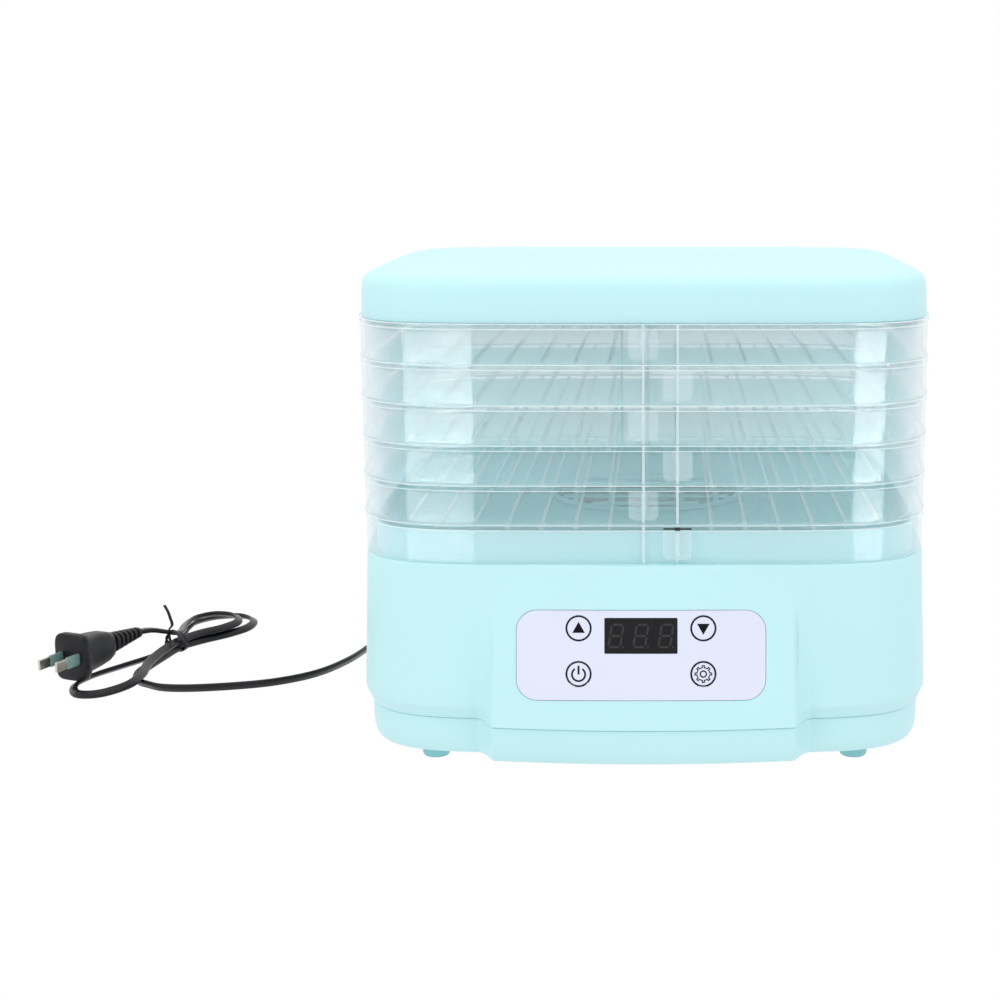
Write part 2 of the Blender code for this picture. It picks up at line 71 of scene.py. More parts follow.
# ---- materials ----
def material(name, colour, rough=0.4, metal=0.0, spread=0.03, scale=30.0, bump=0.0, bump_scale=900.0, rough_spread=0.06,
             tint=None, **sockets):
    """A moulded surface: its colour drifts slightly, its gloss is uneven, and a fine grain stands on it."""
    mat = bpy.data.materials.new(name)
    mat.use_nodes = True
    tree = mat.node_tree
    link = tree.links.new
    shader = tree.nodes["Principled BSDF"]
    where = tree.nodes.new("ShaderNodeTexCoord")
    noise = tree.nodes.new("ShaderNodeTexNoise")
    noise.inputs["Scale"].default_value = scale
    noise.inputs["Detail"].default_value = 4.0
    link(where.outputs["Object"], noise.inputs["Vector"])
    ramp = tree.nodes.new("ShaderNodeValToRGB")
    low = [c * (1 - spread) for c in colour]
    high = [min(1.0, c * (1 + spread)) for c in (tint or colour)]
    ramp.color_ramp.elements[0].position, ramp.color_ramp.elements[1].position = 0.3, 0.7
    ramp.color_ramp.elements[0].color = (*low, 1)
    ramp.color_ramp.elements[1].color = (*high, 1)
    link(noise.outputs["Fac"], ramp.inputs["Fac"])
    link(ramp.outputs["Color"], shader.inputs["Base Color"])
    fine = tree.nodes.new("ShaderNodeTexNoise")
    fine.inputs["Scale"].default_value = bump_scale
    fine.inputs["Detail"].default_value = 3.0
    link(where.outputs["Object"], fine.inputs["Vector"])
    gloss = tree.nodes.new("ShaderNodeMapRange")
    gloss.inputs["To Min"].default_value = max(0.0, rough - rough_spread)
    gloss.inputs["To Max"].default_value = min(1.0, rough + rough_spread)
    link(noise.outputs["Fac"], gloss.inputs["Value"])
    link(gloss.outputs["Result"], shader.inputs["Roughness"])
    if bump:
        raised = tree.nodes.new("ShaderNodeBump")
        raised.inputs["Strength"].default_value = bump
        raised.inputs["Distance"].default_value = 0.0001
        link(fine.outputs["Fac"], raised.inputs["Height"])
        link(raised.outputs["Normal"], shader.inputs["Normal"])
    shader.inputs["Metallic"].default_value = metal
    for key, value in sockets.items():
        shader.inputs[key.replace("_", " ")].default_value = value
    return mat


MINT = material("mint_plastic", (0.500, 0.790, 0.826), 0.40, spread=0.012, scale=14, bump=0.25, bump_scale=1600,
                Specular_IOR_Level=0.45)
FOOT = material("foot_plastic", (0.213, 0.536, 0.572), 0.55, spread=0.05, scale=120, bump=0.5, bump_scale=1400)
PANEL = material("panel_film", (0.683, 0.724, 0.860), 0.36, spread=0.010, scale=25, bump=0.15, bump_scale=1800)
WINDOW = material("window_lens", (0.0070, 0.0072, 0.0085), 0.14, spread=0.10, scale=50, bump=0.05, bump_scale=900, Specular_IOR_Level=0.20)
SEGMENT = material("unlit_segment", (0.034, 0.031, 0.031), 0.40, spread=0.12, scale=900, bump=0.2, Specular_IOR_Level=0.20)
INK = material("printed_ink", (0.0045, 0.0050, 0.0080), 0.45, spread=0.15, scale=500, bump=0.2, Specular_IOR_Level=0.10)
SHADOW = material("gap_shadow", (0.02, 0.022, 0.026), 0.8, spread=0.1, scale=300)
DARK = material("dark_plastic", (0.020, 0.022, 0.024), 0.50, spread=0.12, scale=90, bump=0.4, bump_scale=1200)
BOARD = material("circuit_board", (0.018, 0.13, 0.05), 0.38, spread=0.25, scale=420, bump=0.5, bump_scale=500, tint=(0.03, 0.20, 0.08))
STEEL = material("steel", (0.56, 0.57, 0.59), 0.30, 1.0, spread=0.06, scale=140, bump=0.2, bump_scale=600)
COIL = material("heater_steel", (0.24, 0.20, 0.18), 0.42, 1.0, spread=0.25, scale=160, tint=(0.33, 0.25, 0.20))
MICA = material("mica", (0.46, 0.36, 0.22), 0.5, spread=0.25, scale=200, bump=0.4, tint=(0.60, 0.50, 0.34))
BLADE = material("plated_brass", (0.60, 0.58, 0.52), 0.24, 1.0, spread=0.06, scale=220, bump=0.2)
SLEEVE = material("blade_sleeve", (0.16, 0.27, 0.255), 0.42, spread=0.10, scale=160, bump=0.3)
CORD = material("cord_pvc", (0.0040, 0.0042, 0.0055), 0.27, spread=0.15, scale=120, bump=0.35, bump_scale=1500, Specular_IOR_Level=0.28)
PLUG = material("plug_pvc", (0.0070, 0.0072, 0.0090), 0.40, spread=0.15, scale=120, bump=0.6, bump_scale=1100, Specular_IOR_Level=0.28)


def clear(name, colour, rough, thin, thick, spread=0.006, scale=22.0, bump=0.1, bump_scale=260.0, power=2.2):
    """Moulded clear plastic: see-through face on, denser and more reflective where it turns away."""
    mat = material(name, colour, rough, spread=spread, scale=scale, rough_spread=min(rough, 0.02), bump=bump, bump_scale=bump_scale,
                   IOR=1.49, Specular_IOR_Level=1.0)
    tree = mat.node_tree
    edge = tree.nodes.new("ShaderNodeLayerWeight")
    edge.inputs["Blend"].default_value = 0.5
    shaped = tree.nodes.new("ShaderNodeMath")
    shaped.operation = "POWER"
    shaped.inputs[1].default_value = power
    tree.links.new(edge.outputs["Facing"], shaped.inputs[0])
    spanned = tree.nodes.new("ShaderNodeMapRange")
    spanned.inputs["To Min"].default_value = thin
    spanned.inputs["To Max"].default_value = thick
    tree.links.new(shaped.outputs["Value"], spanned.inputs["Value"])
    tree.links.new(spanned.outputs["Result"], tree.nodes["Principled BSDF"].inputs["Alpha"])
    return mat


CLEAR = clear("clear_plastic", (0.84, 0.93, 0.975), 0.05, 0.05, 0.60)
MESH = clear("clear_mesh", (0.50, 0.96, 0.985), 0.12, 0.22, 0.56)
RIB = clear("clear_rib", (0.86, 0.99, 0.995), 0.12, 0.28, 0.56)
FROST = clear("frosted_plastic", (0.80, 0.94, 0.965), 0.35, 0.15, 0.50, bump=0.3, bump_scale=700.0)
# a denser, whiter copy of the clear plastic for the rim beads and inner flutes: a painted highlight, the bright lines
# these edges show in the light
EDGE_HIGHLIGHT = clear("bright_edge_painted_highlight", (0.88, 0.975, 0.99), 0.10, 0.50, 0.75)


def keep(obj, mat, body, replaces=(), smooth=35.0):
    obj.data.materials.clear()
    obj.data.materials.append(mat)
    if smooth:
        obj.data.shade_smooth()
        obj.data.set_sharp_from_angle(angle=rad(smooth))
    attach(obj, body)
    if replaces:
        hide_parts(*replaces)
    return obj


def from_bmesh(name, bm, scale=MM, matrix=None, recalc=True):
    if recalc:
        bmesh.ops.recalc_face_normals(bm, faces=bm.faces)
    for v in bm.verts:
        v.co *= scale
    if matrix is not None:
        bm.transform(matrix)
    mesh = bpy.data.meshes.new(name)
    bm.to_mesh(mesh)
    bm.free()
    obj = bpy.data.objects.new(name, mesh)
    bpy.context.scene.collection.objects.link(obj)
    return obj


def baked(obj):
    """The object with its modifiers worked into its mesh."""
    bpy.context.view_layer.update()
    mesh = bpy.data.meshes.new_from_object(obj.evaluated_get(bpy.context.evaluated_depsgraph_get()))
    old = obj.data
    obj.modifiers.clear()
    obj.data = mesh
    if old.users == 0:
        bpy.data.meshes.remove(old)
    return obj


def cut(obj, *tools):
    """Takes each tool's shape out of the object, then removes the tools."""
    for tool in tools:
        mod = obj.modifiers.new("cut", "BOOLEAN")
        mod.operation = "DIFFERENCE"
        mod.solver = "EXACT"
        mod.object = tool
    baked(obj)
    for tool in tools:
        bpy.data.objects.remove(tool, do_unlink=True)
    return obj


# ---- curves ----
def smooth_path(points, step, closed=False):
    """Points a step apart along a centripetal Catmull-Rom curve through the given ones."""
    pts = [Vector(p) for p in points]
    pts = [pts[0] * 2 - pts[1]] + pts + [pts[-1] * 2 - pts[-2]]
    fine = []
    for a, b, c, d in zip(pts, pts[1:], pts[2:], pts[3:]):
        t1 = (b - a).length ** 0.5
        t2 = t1 + (c - b).length ** 0.5
        t3 = t2 + (d - c).length ** 0.5
        for i in range(16):
            t = t1 + (t2 - t1) * i / 16
            p = a * ((t1 - t) / t1) + b * (t / t1)
            q = b * ((t2 - t) / (t2 - t1)) + c * ((t - t1) / (t2 - t1))
            r = c * ((t3 - t) / (t3 - t2)) + d * ((t - t2) / (t3 - t2))
            u = p * ((t2 - t) / t2) + q * (t / t2)
            v = q * ((t3 - t) / (t3 - t1)) + r * ((t - t1) / (t3 - t1))
            fine.append(u * ((t2 - t) / (t2 - t1)) + v * ((t - t1) / (t2 - t1)))
    fine.append(pts[-2])
    total = sum((b - a).length for a, b in zip(fine, fine[1:]))
    count = max(2, round(total / step))
    out, run, k = [fine[0]], 0.0, 0
    for i in range(1, count):
        goal = total * i / count
        while run + (fine[k + 1] - fine[k]).length < goal:
            run += (fine[k + 1] - fine[k]).length
            k += 1
        out.append(fine[k].lerp(fine[k + 1], (goal - run) / (fine[k + 1] - fine[k]).length))
    return out + [fine[-1]]


def swept(name, path, section, up=None):
    """A closed tube along the path. section(i, share) gives the outline's (side, up) points there; up(i) may lean it."""
    bm = bmesh.new()
    rings = []
    n = len(path)
    for i, p in enumerate(path):
        ahead = (path[min(i + 1, n - 1)] - path[max(i - 1, 0)]).normalized()
        lift = Vector((0, 0, 1)) if up is None else up(i)
        across = ahead.cross(lift)
        across = across.normalized() if across.length > 1e-6 else Vector((1, 0, 0))
        rise = across.cross(ahead).normalized()
        rings.append([bm.verts.new(p + across * a + rise * b) for a, b in section(i, i / (n - 1))])
    m = len(rings[0])
    for one, two in zip(rings, rings[1:]):
        for j in range(m):
            bm.faces.new((one[j], one[(j + 1) % m], two[(j + 1) % m], two[j]))
    bm.faces.new(rings[0])
    bm.faces.new(rings[-1])
    return from_bmesh(name, bm)


# ---- mains cord: a flat two-core lead, its tied hank, and a two-blade plug ----
CORD_X, CORD_Z = -100.0, 24.0
REAR_Y = BODY_Y + HALF_D * (1 - (abs(CORD_X) / HALF_W) ** POWER) ** (1 / POWER)
GLAND_Y = REAR_Y - 7.0
CORD_W, CORD_T = 5.6, 3.1
HANK_A, HANK_B = Vector((-336.0, -6.0, 0)), Vector((-285.0, 186.0, 0))
ALONG = (HANK_B - HANK_A).normalized()
ACROSS = Vector((-ALONG.y, ALONG.x, 0))


def hank(s, n, z):
    return HANK_A + ALONG * s + ACROSS * n + Vector((0, 0, z))


LEAD = [
    (CORD_X, GLAND_Y + 38.3, 24.0), (-100.5, GLAND_Y + 48, 23.0), (-103.0, GLAND_Y + 60, 19.0), (-110.0, 211.0, 10.5),
    (-121.0, 220.0, 3.6), (-136.0, 221.5, 1.75), (-151.0, 212.0, 1.75), (-163.0, 192.0, 1.75), (-171.5, 164.0, 1.75),
    (-177.0, 133.0, 1.75), (-182.5, 103.0, 1.75), (-191.0, 72.0, 1.75), (-206.0, 44.0, 1.75), (-228.0, 26.5, 1.75),
    (-255.0, 17.5, 1.75), (-280.0, 14.0, 1.75), (-294.0, 15.8, 1.75), (-302.6, 21.2, 1.75),
]
TURNS = [hank(*p) for p in (
    (40, -14.5, 1.75), (52, -7.5, 1.75), (68, -4.5, 1.8), (90, -3.2, 2.4), (112, -2.9, 2.9), (132, -7.5, 2.2),
    (152, -16.0, 1.75), (170, -20.5, 1.75), (187, -15.5, 1.75), (195.5, -1.5, 1.75), (189, 13.0, 1.75), (173, 20.0, 1.75),
    (153, 16.5, 1.75), (132, 8.0, 2.2), (112, 2.9, 2.9), (90, 5.2, 2.0), (66, 12.5, 1.75), (42, 18.8, 1.75), (22, 17.5, 1.75),
    (7.5, 6.0, 2.0), (7.0, -9.5, 3.8), (21, -19.5, 5.6), (40, -17.5, 6.4), (62, -9.0, 6.6), (88, -3.8, 7.0), (112, -2.6, 7.2),
    (131, -6.2, 7.0), (148, -13.8, 6.8), (165, -15.8, 6.8), (178, -5.5, 7.0), (178.5, 8.5, 7.0), (166, 17.0, 6.8),
    (148, 14.2, 7.0), (131, 7.2, 8.2), (118, 3.6, 10.6), (107, 6.0, 14.6), (98, 9.8, 17.6), (90.2, 13.0, 18.5))]
ROUTE = smooth_path([Vector(p) for p in LEAD] + TURNS, 2.6)


def ease(value, start, end):
    t = max(0.0, min(1.0, (value - start) / (end - start)))
    return t * t * (3 - 2 * t)


def lean(i):
    """How far the flat cord has rolled on to its narrow edge: most along the lead, less in the hank, none at its ends."""
    share = i / (len(ROUTE) - 1)
    return rad(58 * ease(share, 0.05, 0.16) - 26 * ease(share, 0.40, 0.50) - 32 * ease(share, 0.93, 0.985))


for i, p in enumerate(ROUTE):
    p.z += (CORD_W - CORD_T) / 2 * math.sin(lean(i))


def cord_up(i):
    ahead = ROUTE[min(i + 1, len(ROUTE) - 1)] - ROUTE[max(i - 1, 0)]
    return Matrix.Rotation(lean(i), 3, ahead.normalized()) @ Vector((0, 0, 1))


def two_core(i, share, grow=1.0):
    """Two round cores side by side with a shallow groove between them."""
    pts = []
    r = CORD_T / 2 * grow
    off = CORD_W / 2 * grow - r
    for k in range(7):
        a = rad(-66 + 132 * k / 6)
        pts.append((off + r * math.cos(a), r * math.sin(a)))
    pts.append((0.0, r * 0.72))
    for k in range(7):
        a = rad(114 + 132 * k / 6)
        pts.append((-off + r * math.cos(a), r * math.sin(a)))
    pts.append((0.0, -r * 0.72))
    return pts


lead = swept("mains_cord", ROUTE, two_core, cord_up)
keep(lead, CORD, "root", ("cord_lead", "cord_hank", "cord_tail"), 60)


def disc(radius_a, radius_b, count=24, square=2.0):
    """Points of a rounded rectangle or an ellipse."""
    out = []
    for k in range(count):
        a = 2 * math.pi * k / count
        c, s = math.cos(a), math.sin(a)
        out.append((radius_a * math.copysign(abs(c) ** (2 / square), c), radius_b * math.copysign(abs(s) ** (2 / square), s)))
    return out


def stations(profile, start, heading):
    """Sweeps a body along a straight axis through (distance, half width, half height, squareness) stations."""
    path = [start + heading * d for d, *_ in profile]
    return path, lambda i, share: disc(profile[i][1], profile[i][2], 40, profile[i][3])


# the gland in the rear wall, then a ribbed sleeve that tapers on to the cord
gland_profile = [(0, 5.1, 5.1, 2.0), (9.0, 5.1, 5.1, 2.0), (9.4, 6.6, 6.6, 2.0), (11.6, 6.8, 6.8, 2.0), (12.2, 6.2, 6.2, 2.0), (12.4, 5.0, 5.0, 2.0)]
for k in range(6):
    d, w, h = 13.0 + k * 4.0, 4.9 - k * 0.26, 4.9 - k * 0.46
    gland_profile += [(d, w, h, 2.2), (d + 0.3, w - 0.7, h - 0.7, 2.2), (d + 1.6, w - 0.75, h - 0.75, 2.2), (d + 1.9, w - 0.1, h - 0.15, 2.2)]
gland_profile += [(37.4, 3.3, 2.3, 2.4), (38.0, 3.0, 2.0, 2.4)]
path, section = stations(gland_profile, Vector((CORD_X, GLAND_Y, CORD_Z)), Vector((0, 1, 0)))
gland = keep(swept("cord_gland_detail", path, section), PLUG, "root", ("cord_gland",), 40)

PLUG_START, PLUG_DIR, PLUG_Z = Vector((-326.0, 84.0, 0)), Vector((-0.381, -0.925, 0)).normalized(), 18.6
PLUG_AT = PLUG_START + Vector((0, 0, PLUG_Z))
relief_profile = [(-0.2, 3.0, 2.0, 2.4), (0.4, 3.5, 2.6, 2.4)]
for k in range(6):
    d, w, h = 1.6 + k * 4.6, 3.9 + k * 0.42, 3.3 + k * 0.55
    relief_profile += [(d, w, h, 2.6), (d + 2.5, w + 0.2, h + 0.2, 2.6), (d + 2.9, w - 0.9, h - 0.9, 2.6), (d + 4.1, w - 0.8, h - 0.8, 2.6)]
relief_profile.append((30.2, 6.2, 6.4, 2.8))
path, section = stations(relief_profile, PLUG_AT, PLUG_DIR)
relief = keep(swept("plug_relief_detail", path, section), PLUG, "root", ("plug_strain_relief",), 40)
body_profile = [(30.0, 6.4, 6.8, 3.0), (31.0, 7.2, 8.0, 3.2), (36.0, 8.2, 9.6, 3.6), (44.0, 8.6, 10.6, 4.0), (54.0, 9.0, 11.4, 4.4),
                (57.0, 9.8, 12.6, 4.6), (58.4, 11.2, 14.0, 5.0), (59.0, 11.7, 14.5, 5.0), (62.6, 12.0, 14.8, 5.0), (63.8, 11.6, 14.4, 5.0),
                (64.3, 10.7, 13.5, 5.0)]
path, section = stations(body_profile, PLUG_AT, PLUG_DIR)
plug = keep(swept("plug_housing", path, section), PLUG, "root", ("plug_body",), 40)
side_dir = PLUG_DIR.cross(Vector((0, 0, 1)))
for name, off in (("left", -6.35), ("right", 6.35)):
    path = [PLUG_AT + side_dir * -off + PLUG_DIR * d for d in (63.9, 64.4, 74.6, 75.2)]
    shape = lambda i, share: disc(1.15 if 0 < i < 3 else 0.95, 3.55 if 0 < i < 3 else 3.3, 24, 5.0)
    keep(swept("blade_sleeve_" + name, path, shape), SLEEVE, "root", (), 40)

# the twist tie: two turns round the waist of the hank, knotted, with its ends left up
tie_path = []
for k in range(41):
    a = 2 * math.pi * 1.9 * k / 40 - 0.6
    tie_path.append(hank(112 + 3.4 * (k / 40 - 0.5), 7.0 * math.copysign(abs(math.cos(a)) ** 0.7, math.cos(a)),
                         6.6 + 6.1 * math.copysign(abs(math.sin(a)) ** 0.7, math.sin(a))))
tie_path += [hank(*p) for p in ((110.5, 4.5, 14.6), (112.5, 3.0, 17.5), (113.5, 4.6, 21.5), (114.5, 6.6, 25.5), (116.0, 10.0, 29.5))]
tie_path = smooth_path(tie_path, 1.2)
tie = swept("twist_tie", tie_path, lambda i, share: disc(1.05, 0.42, 12, 3.0))
keep(tie, PLUG, "root", ("cord_tie",), 50)
end_path = smooth_path([hank(*p) for p in ((113.6, 5.2, 12.6), (110.6, 2.8, 14.6), (108.6, -0.6, 15.0), (105.5, -5.0, 13.6), (103.5, -9.8, 10.4), (102.8, -13.0, 6.4))], 1.2)
tie_end = keep(swept("twist_tie_end", end_path, lambda i, share: disc(1.05, 0.42, 12, 3.0)), PLUG, "root", (), 50)


# ---- the moulded shells, drawn round the plan outline ----
def plan_stations():
    """Points round the superellipse with their outward normals, closer together where the pod's flanks turn."""
    pts = []
    for k in range(7200):
        a = 2 * math.pi * k / 7200
        c, s = math.cos(a), math.sin(a)
        r = (abs(c / HALF_W) ** POWER + abs(s / HALF_D) ** POWER) ** (-1 / POWER)
        pts.append((r * c, r * s))
    out, owed = [], 1.0
    for (ax, ay), (bx, by) in zip(pts, pts[1:] + pts[:1]):
        if owed >= 1.0:
            owed -= 1.0
            nx = math.copysign((abs(ax) / HALF_W) ** (POWER - 1) / HALF_W, ax)
            ny = math.copysign((abs(ay) / HALF_D) ** (POWER - 1) / HALF_D, ay)
            size = math.hypot(nx, ny)
            out.append((ax, ay, nx / size, ny / size))
        spacing = 0.9 if ay < 0 and 70 < abs(ax) < 90 else 2.8
        owed += math.hypot(bx - ax, by - ay) / spacing
    return out


STATIONS = plan_stations()


def pod_front(z):
    if z < POD_Z0:
        return HALF_D + POD_FOOT - (POD_Z0 - z) * 0.10
    return HALF_D + POD_TOP + (POD_Z1 - min(z, POD_Z1)) / (POD_Z1 - POD_Z0) * (POD_FOOT - POD_TOP)


def bow(x):
    return BOW * (x / 66.0) ** 2


def plan_ring(row):
    if row[0] == "circle":
        _, radius, z = row
        return [(radius * x / math.hypot(x, y), radius * y / math.hypot(x, y) + BODY_Y, z) for x, y, _, _ in STATIONS]
    offset, z, *swell = row
    half = POD_HALF - max(0.0, min(1.0, (z - POD_Z0) / (POD_Z1 - POD_Z0))) * 3.5
    out = []
    for x, y, nx, ny in STATIONS:
        px, py = x + nx * offset, y + ny * offset
        if swell and y < 0 and abs(x) < half:
            t = min(1.0, (half - abs(x)) / POD_FLANK)
            t = 0.6 * t * t + 0.4 * t * t * (3 - 2 * t)      # a hollow flank that meets the face at a crisper edge
            target = -(pod_front(z) + min(offset, 0.0) - bow(x))
            py += (min(target, py) - py) * t
        out.append((px, py + BODY_Y, z))
    return out


def shell(name, rows, closed=False):
    bm = bmesh.new()
    rings = [[bm.verts.new(p) for p in plan_ring(row)] for row in rows]
    pairs = list(zip(rings, rings[1:])) + ([(rings[-1], rings[0])] if closed else [])
    m = len(STATIONS)
    for one, two in pairs:
        for j in range(m):
            bm.faces.new((one[j], one[(j + 1) % m], two[(j + 1) % m], two[j]))
    if not closed:
        bm.faces.new(rings[0])
        bm.faces.new(rings[-1])
    return from_bmesh(name, bm)


def block(bm, low, high):
    """A closed box between two corners, added to bm."""
    made = bmesh.ops.create_cube(bm, size=1.0)["verts"]
    bmesh.ops.scale(bm, vec=[h - l for l, h in zip(low, high)], verts=made)
    bmesh.ops.translate(bm, vec=[(l + h) / 2 for l, h in zip(low, high)], verts=made)
    return made


def half_depth(x, offset=0.0):
    """Half the plan's depth at this x, for an outline moved in or out by offset."""
    a, b = HALF_W + offset, HALF_D + offset
    return b * max(0.0, 1 - (abs(x) / a) ** POWER) ** (1 / POWER)


def half_width(y, offset=0.0):
    a, b = HALF_W + offset, HALF_D + offset
    return a * max(0.0, 1 - (abs(y) / b) ** POWER) ** (1 / POWER)


POD = Matrix.Translation(Vector((PANEL_X, BODY_Y - pod_front(PANEL_Z), PANEL_Z)) * MM) @ Matrix.Rotation(math.pi / 2 - POD_TILT, 4, "X")


def flat_shape(name, loops, z0, z1, bend=True, step=3.0):
    """A thin plate drawn on the pod's face: outlines and holes, given a thickness and the face's own bow."""
    curve = bpy.data.curves.new(name, "CURVE")
    curve.dimensions = "2D"
    curve.fill_mode = "BOTH"
    curve.extrude = (z1 - z0) / 2 * MM
    for loop in loops:
        spline = curve.splines.new("POLY")
        spline.points.add(len(loop) - 1)
        for p, (x, y) in zip(spline.points, loop):
            p.co = (x * MM, y * MM, 0, 1)
        spline.use_cyclic_u = True
    guide = bpy.data.objects.new(name + "_guide", curve)
    bpy.context.scene.collection.objects.link(guide)
    bpy.context.view_layer.update()
    mesh = bpy.data.meshes.new_from_object(guide.evaluated_get(bpy.context.evaluated_depsgraph_get()))
    bpy.data.objects.remove(guide, do_unlink=True)
    bm = bmesh.new()
    bm.from_mesh(mesh)
    bpy.data.meshes.remove(mesh)
    bmesh.ops.remove_doubles(bm, verts=bm.verts, dist=1e-6)
    if bend:
        xs = [v.co.x for v in bm.verts]
        first, last = math.ceil(min(xs) / MM / step), math.floor(max(xs) / MM / step)
        for k in range(first, last + 1):
            bmesh.ops.bisect_plane(bm, geom=bm.verts[:] + bm.edges[:] + bm.faces[:], plane_co=(k * step * MM, 0, 0), plane_no=(1, 0, 0), dist=1e-7)
    for v in bm.verts:
        v.co.z += (z0 + z1) / 2 * MM - (bow(v.co.x / MM) * MM * 0.98 if bend else 0.0)
    return from_bmesh(name, bm, scale=1.0, matrix=POD)


def circle(cx, cy, r, count=48):
    return [(cx + r * math.cos(2 * math.pi * k / count), cy + r * math.sin(2 * math.pi * k / count)) for k in range(count)]


def rounded(width, height, radius, at=(0.0, 0.0), seg=10):
    pts = []
    for cx, cy, start in ((1, 1, 0), (-1, 1, 90), (-1, -1, 180), (1, -1, 270)):
        for i in range(seg + 1):
            a = rad(start + 90 * i / seg)
            pts.append((cx * (width / 2 - radius) + radius * math.cos(a) + at[0], cy * (height / 2 - radius) + radius * math.sin(a) + at[1]))
    return pts


# ---- base housing ----
wall_rows = [(0.1 + (3.0 - 0.1) * (112.0 - z) / 72.0, z, True) for z in (104, 92, 80, 68, 56, 46, 40)]
housing = shell("housing_shell", [
    ("circle", 55.0, DECK_Z), (-8.2, DECK_Z), (-7.5, 124.2), (-7.2, 125.0), (-7.2, 129.8), (-6.9, 130.3), (-5.6, 130.3), (-5.25, 129.8),
    (-5.2, 115.0), (-4.9, 114.3), (-4.2, 114.1), (-1.2, 114.1, True), (-0.5, 113.9, True), (-0.08, 113.3, True), (0.1, 112.0, True), *wall_rows,
    (3.0, 38.8, True), (2.85, 38.0, True), (2.4, 37.2, True), (0.5, 32.8, True), (0.1, 32.1, True), (-0.3, 31.7, True),
    (-2.5, 31.7, True), (-0.2, 38.0, True), (-2.5, 111.6, True), (-7.2, 111.6), (-7.2, 121.5), ("circle", 55.0, 121.5)], closed=True)
PANEL_W, PANEL_H, PANEL_R = 127.4, 45.8, 10.5
recess = flat_shape("recess_tool", [rounded(PANEL_W + 0.5, PANEL_H + 0.5, PANEL_R + 0.25)], -1.45, 6.0)
opening = flat_shape("opening_tool", [rounded(112.0, 43.6, 6.0)], -9.0, -1.0)
cut(housing, recess, opening)
keep(housing, MINT, "root", ("base_housing",), 32)

# ---- bottom cover ----
cover = shell("cover_shell", [
    (-12.0, 11.5, True), (-5.6, 11.5, True), (-4.3, 11.75, True), (-3.2, 12.35, True), (-2.2, 13.3, True), (-1.5, 14.7, True), (-1.0, 16.6, True),
    (-0.75, 20.0, True), (-0.7, 30.6, True), (-0.9, 31.2, True), (-1.3, 31.4, True), (-3.2, 31.4, True), (-3.2, 14.8, True), (-8.4, 14.0, True), (-12.0, 14.0, True)])
bm = bmesh.new()
for i in range(-4, 5):
    reach = math.sqrt(52.0 ** 2 - (i * 11.0) ** 2)
    block(bm, (i * 11.0 - 2.3, BODY_Y - reach, 6), (i * 11.0 + 2.3, BODY_Y + reach, 22))
vents = from_bmesh("vent_tool", bm)
bpy.ops.mesh.primitive_cylinder_add(vertices=40, radius=5.4 * MM, depth=24 * MM, location=(CORD_X * MM, REAR_Y * MM, CORD_Z * MM), rotation=(rad(90), 0, 0))
gland_hole = bpy.context.object
cut(cover, vents, gland_hole)
keep(cover, MINT, "root", ("bottom_cover",), 32)

# ---- lid ----
lid = shell("lid_shell", [
    (-27.0, 260.0), (-12.0, 259.95), (-7.6, 259.75), (-5.6, 259.35), (-4.2, 258.65), (-3.1, 257.6), (-2.2, 256.1), (-1.6, 254.0), (-1.3, 251.0), (-1.15, 246.0),
    (-0.95, 238.2), (-1.1, 237.7), (-1.4, 237.45), (-2.5, 237.45), (-2.9, 237.8), (-3.4, 250.0), (-5.6, 255.6), (-9.5, 257.6), (-27.0, 257.6)])
keep(lid, MINT, "lid", ("lid",), 32)

# ---- feet ----
for node in ("foot_front_left", "foot_front_right", "foot_rear_left", "foot_rear_right"):
    low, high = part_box(node)
    mid = Vector(((low[0] + high[0]) / 2, (low[1] + high[1]) / 2, 0)) / MM
    rows = [(0.01, 0.0), (5.4, 0.0), (6.5, 0.25), (7.15, 0.9), (7.45, 2.2), (8.0, 6.5), (8.55, 11.2), (8.3, 11.4), (0.01, 11.4)]
    bm = bmesh.new()
    rings = [[bm.verts.new((mid.x + r * math.cos(2 * math.pi * k / 56), mid.y + r * math.sin(2 * math.pi * k / 56), z)) for k in range(56)] for r, z in rows]
    for one, two in zip(rings, rings[1:]):
        for j in range(56):
            bm.faces.new((one[j], one[(j + 1) % 56], two[(j + 1) % 56], two[j]))
    bm.faces.new(rings[0])
    bm.faces.new(rings[-1])
    keep(from_bmesh(node + "_turned", bm), FOOT, "root", (node,), 40)

# ---- trays ----
TONGUE_W, TONGUE_H = 15.0, 15.0


def tongue_outline(cx, top):
    """A tab that hangs from the rim, with round lower corners, as (x, z) points."""
    pts = [(cx - TONGUE_W / 2, top), (cx - TONGUE_W / 2, top - TONGUE_H + 3.5)]
    for k in range(1, 8):
        a = rad(180 + 90 * k / 8)
        pts.append((cx - TONGUE_W / 2 + 3.5 + 3.5 * math.cos(a), top - TONGUE_H + 3.5 + 3.5 * math.sin(a)))
    for k in range(1, 8):
        a = rad(270 + 90 * k / 8)
        pts.append((cx + TONGUE_W / 2 - 3.5 + 3.5 * math.cos(a), top - TONGUE_H + 3.5 + 3.5 * math.sin(a)))
    pts += [(cx + TONGUE_W / 2, top - TONGUE_H + 3.5), (cx + TONGUE_W / 2, top)]
    return pts


def wall_slab(bm, outline, out_a, out_b, rear=False):
    """An outline in (x, z), given a thickness between two offsets of the front or rear wall."""
    sign = 1 if rear else -1
    faces = []
    rings = [[bm.verts.new((x, BODY_Y + sign * half_depth(x, off), z)) for x, z in outline] for off in (out_a, out_b)]
    n = len(outline)
    for j in range(n):
        faces.append(bm.faces.new((rings[0][j], rings[0][(j + 1) % n], rings[1][(j + 1) % n], rings[1][j])))
    faces.append(bm.faces.new(rings[0]))
    faces.append(bm.faces.new(rings[1]))
    return faces


